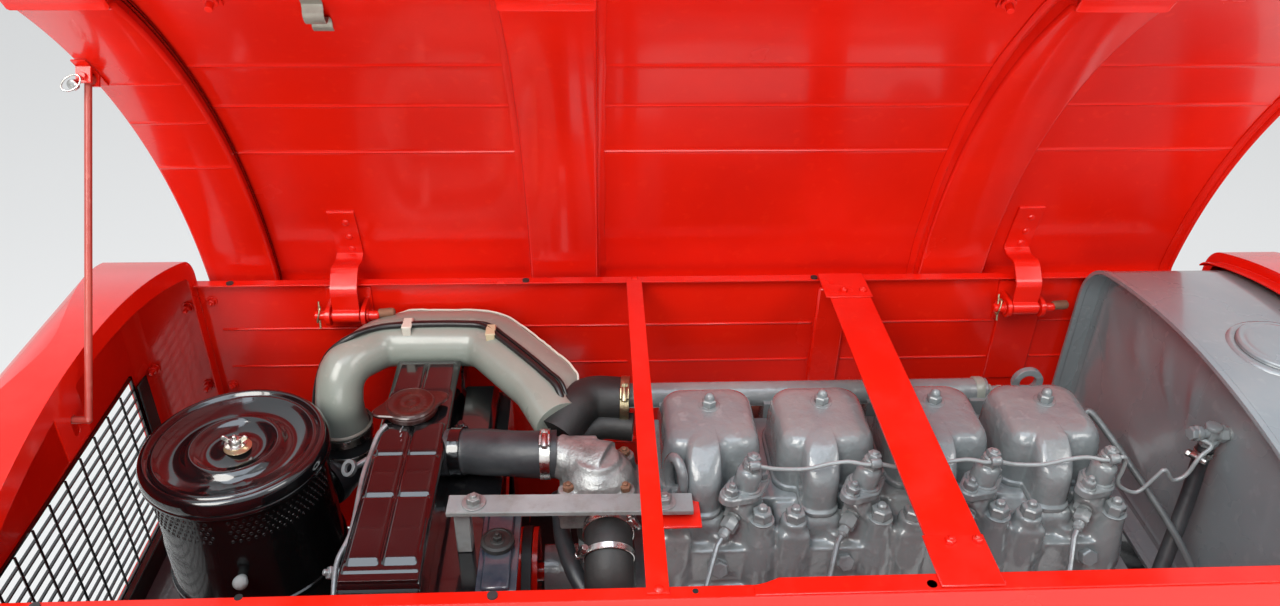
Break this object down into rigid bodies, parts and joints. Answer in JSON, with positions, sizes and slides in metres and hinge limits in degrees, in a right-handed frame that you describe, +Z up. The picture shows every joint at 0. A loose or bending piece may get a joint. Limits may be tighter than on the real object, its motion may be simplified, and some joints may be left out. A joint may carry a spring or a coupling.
{
  "type": "tractor engine bay with side-hinged bonnet",
  "caption": "Front engine section of a vintage tractor: open bonnet lid on a prop rod over a diesel engine, radiator, air cleaner and fuel tank.",
  "frame": {"origin": "centre of the clutch housing's rear flange face, on the crankshaft line", "axes": "+X to the tractor's rear, out of the flange; +Y to the side of the bonnet's hinges; +Z up"},
  "size_m": [1.683, 0.6507, 1.2442],
  "materials": {
    "red_paint": "bright gloss enamel on pressed sheet steel, with light orange peel and small chips at the edges",
    "grey_paint": "mid grey gloss enamel brushed over castings",
    "pipe_paint": "pale grey-green semi-gloss paint on steel pipe",
    "black_paint": "gloss black enamel",
    "cap_paint": "dark brown-black enamel",
    "black_rubber": "matt black moulded rubber",
    "bare_alloy": "bare cast and rolled alloy, dull and slightly stained",
    "bare_steel": "bare steel under thin grey paint",
    "prop_paint": "worn red paint on round steel rod",
    "hot_iron": "bare cast iron with brown heat rust"
  },
  "bodies": {
    "root": {"clutch_housing": "grey_paint", "flywheel": "bare_steel", "engine_block": "grey_paint", "sump": "grey_paint", "timing_cover": "grey_paint", "cylinder_heads": "grey_paint", "rocker_covers": "grey_paint", "injectors": "bare_steel", "injector_pipes": "bare_steel", "leak_off_line": "bare_steel", "head_nuts": "grey_paint", "lifting_ring": "grey_paint", "lifting_eye": "grey_paint", "inlet_manifold": "grey_paint", "exhaust_manifold": "hot_iron", "injection_pump": "grey_paint", "water_pump": "grey_paint", "thermostat_housing": "bare_alloy", "top_hose": "black_rubber", "bypass_hose": "black_rubber", "lower_hose": "black_rubber", "crank_pulley": "black_paint", "generator": "black_paint", "fan_belt": "black_rubber", "radiator": "black_paint", "radiator_cap": "cap_paint", "fan_shroud": "black_paint", "stay_bar": "bare_alloy", "air_cleaner_body": "black_paint", "air_cleaner_cover": "black_paint", "air_elbow": "black_rubber", "air_pipe": "pipe_paint", "manifold_elbow": "black_rubber", "front_bolster": "grey_paint", "nose_cowl": "red_paint", "grille": "black_paint", "far_panel": "red_paint", "near_panel": "red_paint", "divider_hoop": "red_paint", "cross_brace": "red_paint", "rear_cowl": "red_paint", "fuel_tank": "grey_paint", "tank_cap": "grey_paint", "tank_cradle": "black_paint", "fuel_tap": "bare_steel", "fuel_hose": "black_rubber", "hinge_brackets": "red_paint", "rail_buffers": "black_rubber"},
    "lid": {"lid_skin": "red_paint", "lid_ribs": "red_paint", "hinge_straps": "red_paint", "prop_bracket": "red_paint", "lid_latches": "red_paint"},
    "prop": {"prop_rod": "prop_paint"},
    "fan": {"fan": "red_paint"}
  },
  "joints": [
    {"name": "lid_hinge", "type": "hinge", "parent": "root", "child": "lid", "pos_m": [-0.8, 0.268, 0.504], "axis": [1, 0, 0], "range_deg": [0, 60]},
    {"name": "prop_swing", "type": "hinge", "parent": "lid", "child": "prop", "pos_m": [-1.515, 0.13898, 0.89947], "axis": [0, -0.8371, 0.5471], "range_deg": [0, 90]},
    {"name": "fan_spin", "type": "hinge", "parent": "root", "child": "fan", "pos_m": [-1.08, 0, 0.262], "axis": [1, 0, 0], "continuous": true}
  ],
  "couplings": [
    {"joint": "prop_swing", "follows": "lid_hinge", "ratio": 1.5}
  ]
}
